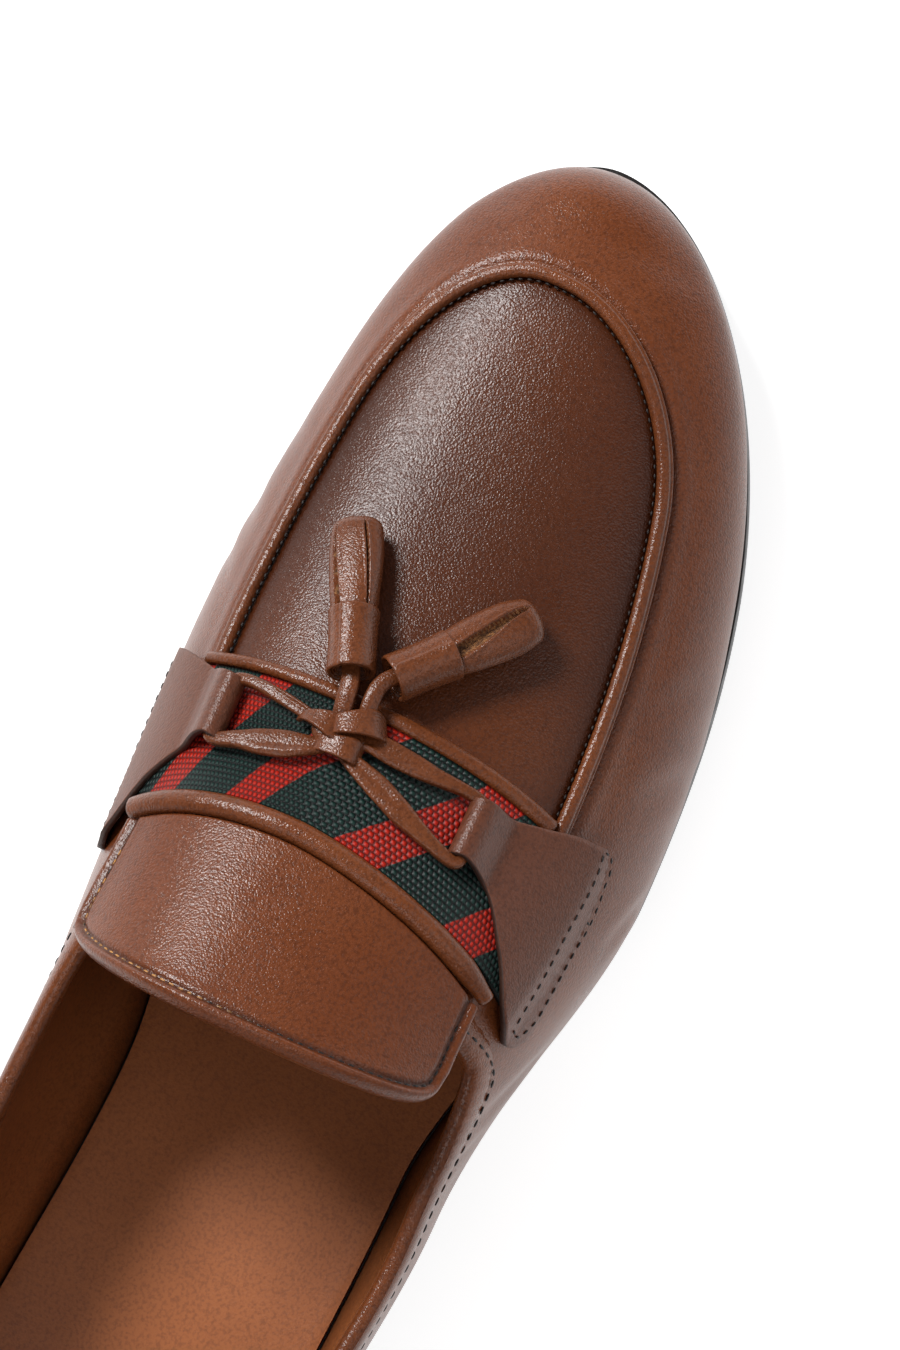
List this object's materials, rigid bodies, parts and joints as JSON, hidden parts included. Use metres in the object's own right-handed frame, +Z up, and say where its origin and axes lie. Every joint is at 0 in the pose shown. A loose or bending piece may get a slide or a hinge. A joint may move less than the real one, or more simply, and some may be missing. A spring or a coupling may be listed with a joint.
{
  "type": "tassel loafer",
  "caption": "Low slip-on leather dress shoe with a round toe, piped apron, striped webbing saddle, square tongue and a knotted thong with leather tassels.",
  "frame": {"origin": "on the floor under the middle of the shoe's box, measured without the knot, its ends and the tassels", "axes": "+X towards the toe along the shoe, +Y towards the medial (inner) side of this right shoe, +Z up"},
  "size_m": [0.3046, 0.0956, 0.0895],
  "materials": {
    "calf_brown": "burnished calf with a fine grain, satin",
    "thong_brown": "soft folded calf strip, satin",
    "lining_tan": "smooth lining leather, low sheen",
    "webbing": "woven webbing, dark green ground with narrow red bars",
    "sole_black": "blackened, waxed sole leather"
  },
  "bodies": {
    "root": {"outsole": "sole_black", "heel": "sole_black", "insole": "lining_tan", "upper": "calf_brown", "apron_piping": "calf_brown", "web_band": "webbing", "front_binding": "calf_brown", "rear_binding": "calf_brown", "tongue": "calf_brown", "tab_medial": "calf_brown", "tab_lateral": "calf_brown", "thong_medial": "thong_brown", "thong_lateral": "thong_brown", "thong_knot": "thong_brown", "stem_front": "thong_brown", "stem_lateral": "thong_brown", "tassel_front": "calf_brown", "tassel_lateral": "calf_brown"}
  },
  "joints": []
}
